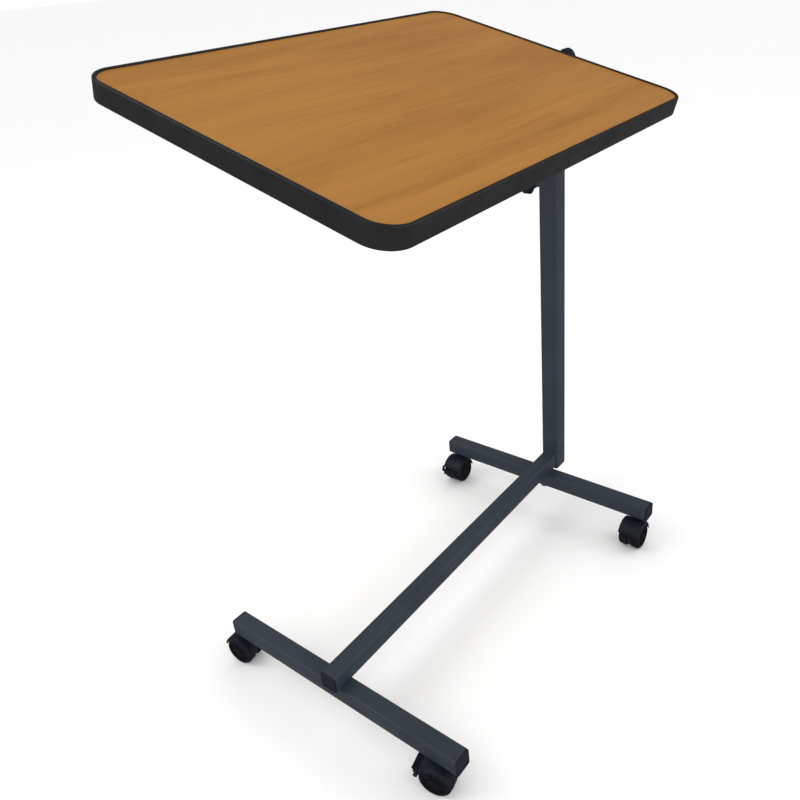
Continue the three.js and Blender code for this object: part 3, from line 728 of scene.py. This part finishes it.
def star_knob(name, node, joint, radius, hub, lobes, depth, turned_by=0):
    """A lobed hand knob on a round hub, dished in its face and turned by some degrees on its axis."""
    turn = JOINTS[joint]
    axis, foot = Vector(turn["axis"]), Vector(turn["pos_m"])
    length = max((corner - foot).dot(axis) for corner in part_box(node))
    soft, neck, steps = 3 * MM, 0.45 * radius, 120
    rings = [at_height(circle(neck - 0.6 * MM, steps), 0), at_height(circle(neck, steps), 0.6 * MM)]
    rings.append(at_height(circle(neck, steps), hub))
    for start, middle in ((-90, hub + soft), (0, length - soft)):
        for out, along in arc(0, 0, soft, start, start + 90, 6):
            rings.append(at_height(star(radius, lobes, depth, soft - out), middle + along))
    for reach, drop in ((0.8, 0), (0.7, 1 * MM), (0.1, 1.4 * MM)):
        rings.append(at_height(circle(reach * neck, steps), length - drop))
    bm = bmesh.new()
    loft(bm, rings)
    piece(name, bm, facing(foot, axis) @ Matrix.Rotation(radians(turned_by), 4, "Z"), node)


# ------------------------------------------------------------------ tilting top

CORNER_STEPS = 14
TOP_CORNER = 32 * MM
BOARD_CORNER = TOP_CORNER - 4 * MM


def edge_band():
    """A moulding swept round the board: soft outer edges and a rolled lip above the laminate."""
    low, high = local_box("top_edge_band", TOP)
    sheet_low, sheet_high = local_box("top_laminate", TOP)
    length, width, depth = high - low
    lip = (length - (sheet_high.x - sheet_low.x)) / 2
    mid = depth / 2
    outer, inner = 1.8 * MM, 1.2 * MM
    section = arc(-outer, mid - outer, outer, 0, 90, 5)
    section += arc(-lip + inner, mid - inner, inner, 90, 180, 4)
    section += arc(-lip + inner, -mid + inner, inner, 180, 270, 4)
    section += arc(-outer, -mid + outer, outer, 270, 360, 5)
    centre = (low + high) / 2
    rings = []
    for index, (x, y) in enumerate(rounded_rectangle(length, width, TOP_CORNER, CORNER_STEPS)):
        quarter, step = divmod(index, CORNER_STEPS + 1)
        angle = (quarter + step / CORNER_STEPS) * pi / 2
        outwards = Vector((cos(angle), sin(angle), 0))
        spot = centre + Vector((x, y, 0))
        rings.append([spot + outwards * across + Vector((0, 0, up)) for across, up in section])
    bm = bmesh.new()
    loft(bm, rings, looped=True)
    piece("edge_band_mould", bm, TOP, "top_edge_band")


def slab(name, node, corner, bevel, steps=CORNER_STEPS):
    """A flat rounded sheet filling a node's box in the frame of the top."""
    low, high = local_box(node, TOP)
    outline = rounded_rectangle(high.x - low.x, high.y - low.y, corner, steps)
    bm = bmesh.new()
    loft(bm, [at_height(outline, low.z), at_height(outline, high.z)])
    middle = Matrix.Translation(((low.x + high.x) / 2, (low.y + high.y) / 2, 0))
    piece(name, bm, TOP @ middle, node, bevel=bevel)


def support_frame():
    """The round bar, its cap and stop collar, and the two plates screwed to the board."""
    tube = broken_ring(BAR_RADIUS, BAR_RADIUS - TUBE_WALL, 0.3 * MM)
    stop = broken_ring(SLEEVE_RADIUS, BAR_RADIUS + FIT, 0.6 * MM)
    turned("support_bar_tube", "support_bar", 0, tube, TOP)
    turned("support_bar_stop", "support_bar_collar", 0, stop, TOP)
    turned("support_bar_cap", "support_bar_plug", 0, bar_cap, TOP, looped=False)
    for end in ("rear", "front"):
        slab(f"{end}_plate", f"{end}_support_plate", 6 * MM, 0.6 * MM, 6)
        plate_welds(end)
        for side in ("left", "right"):
            turned(f"{end}_pan_screw_{side}", f"{end}_board_screw_{side}", 2, pan_screw, TOP, looped=False)


def bar_cap(length):
    spigot, bar, head, soft = 8 * MM, BAR_RADIUS, 3 * MM, 1.4 * MM
    points = [(spigot, 0), (spigot, length - head), (bar, length - head)]
    return points + arc(bar - soft, length - soft, soft, 0, 90, 5) + [(1 * MM, length)]


def pan_screw(length):
    """A pan head with a driver recess, below a pointed shank."""
    head, thick, shank = 4.5 * MM, 3 * MM, 2 * MM
    recess = [(0.4 * MM, 1.4 * MM), (1.6 * MM, 1.1 * MM), (1.9 * MM, 0.1 * MM)]
    pan = [(2.6 * MM, 0), (head - 0.8 * MM, 0.7 * MM), (head, 1.8 * MM), (head, thick)]
    return recess + pan + [(shank, thick), (shank, length - 2 * MM), (0.4 * MM, length)]


def plate_welds(end):
    """A bead in each corner between the round bar and the plate above it."""
    plate = f"{end}_support_plate"
    low, high = local_box(plate, TOP)
    out, drop, count = 5 * MM, 0.6 * MM, 22
    step = (high.x - low.x) / count
    for side, y in (("left", -out), ("right", out)):
        path = [TOP @ Vector((low.x + step * i, y, low.z - drop)) for i in range(1, count)]
        bead(f"{end}_plate_weld_{side}", path, Vector((0, 0, 1)), 1.3 * MM, plate, closed=False)


# ------------------------------------------------------------------ floor, light and camera

# The share of the world's light that shows in reflections.
WORLD_IN_REFLECTIONS = 0.2
EYE = (0.7588, 0.58625, 0.91225)


def floor_and_world():
    """A white sweep lit evenly from all round, which is dimmed in what the surfaces reflect."""
    bm = bmesh.new()
    bmesh.ops.create_grid(bm, x_segments=2, y_segments=2, size=60)
    mesh = bpy.data.meshes.new("floor")
    bm.to_mesh(mesh)
    bm.free()
    floor = bpy.data.objects.new("floor", mesh)
    bpy.context.scene.collection.objects.link(floor)
    s = Shader("pale_floor")
    tone = s.mix(s.remap(s.noise(3, detail=2), 0.3, 0.7), (0.97, 0.97, 0.97, 1), (0.98, 0.98, 0.98, 1))
    floor.data.materials.append(s.out(tone, 0.95, specular=0.1))
    floor.visible_glossy = False

    world = bpy.data.worlds.new("studio")
    world.use_nodes = True
    nodes, links = world.node_tree.nodes, world.node_tree.links
    dimmer = nodes.new("ShaderNodeMapRange")
    dimmer.inputs["To Min"].default_value = 1.0
    dimmer.inputs["To Max"].default_value = WORLD_IN_REFLECTIONS
    links.new(nodes.new("ShaderNodeLightPath").outputs["Is Glossy Ray"], dimmer.inputs["Value"])
    links.new(dimmer.outputs[0], nodes["Background"].inputs["Strength"])
    nodes["Background"].inputs["Color"].default_value = (1, 1, 1, 1)
    bpy.context.scene.world = world


def area_light(name, location, target, size, power):
    light = bpy.data.lights.new(name, "AREA")
    light.shape = "SQUARE"
    light.size = size
    light.energy = power
    lamp = bpy.data.objects.new(name, light)
    lamp.matrix_world = facing(location, Vector(location) - Vector(target))
    bpy.context.scene.collection.objects.link(lamp)


def camera():
    """A high view from beyond the front crossbar, on the side that the top slopes down to."""
    heading, dip, roll = radians(219.8), radians(27.43), radians(-5.33)
    focal, centre_x, centre_y, frame_width = 770.41, 425.19, 358.73, 800
    data = bpy.data.cameras.new("camera")
    data.sensor_width = 36
    data.lens = focal / frame_width * data.sensor_width
    data.shift_x = (frame_width / 2 - centre_x) / frame_width
    data.shift_y = (centre_y - frame_width / 2) / frame_width
    look = Vector((cos(dip) * cos(heading), cos(dip) * sin(heading), -sin(dip)))
    right = look.cross(Vector((0, 0, 1))).normalized()
    up = right.cross(look)
    right, up = right * cos(roll) + up * sin(roll), up * cos(roll) - right * sin(roll)
    eye = bpy.data.objects.new("camera", data)
    turn = Matrix((right, up, -look)).transposed().to_4x4()
    eye.matrix_world = Matrix.Translation(EYE) @ turn
    bpy.context.scene.collection.objects.link(eye)
    bpy.context.scene.camera = eye


# ------------------------------------------------------------------ assembly

base()
for corner in ("front_left", "front_right", "rear_left", "rear_right"):
    caster(corner)
mast()
star_knob("height_knob", "height_clamp_knob", "height_clamp_turn", **HEIGHT_KNOB)
star_knob("tilt_knob", "tilt_clamp_knob", "tilt_clamp_turn", **TILT_KNOB)
turned("tilt_washer", "tilt_clamp_washer", 0, broken_ring(14 * MM, M8_HOLE, 0.4 * MM))
support_frame()
edge_band()
slab("laminate_sheet", "top_laminate", BOARD_CORNER, 0.2 * MM)
slab("board_core", "top_board", BOARD_CORNER, 0.4 * MM)

for node, thing in frame["nodes"].items():
    thing.data.materials.clear()
    thing.data.materials.append(LOOKS[SLOT_OF[node]])

floor_and_world()
area_light("key", (1.4, -1.4, 2.4), (0, 0, 0.5), 1.6, 14)
area_light("fill", (0.8, 2.4, 1.8), (0, 0, 0.5), 2.0, 6)
area_light("glint", (-1.5, 2.1, 1.7), (0, 0, 0.2), 0.9, 10)
camera()

scene = bpy.context.scene
scene.view_settings.view_transform = "Standard"
scene.view_settings.look = "None"
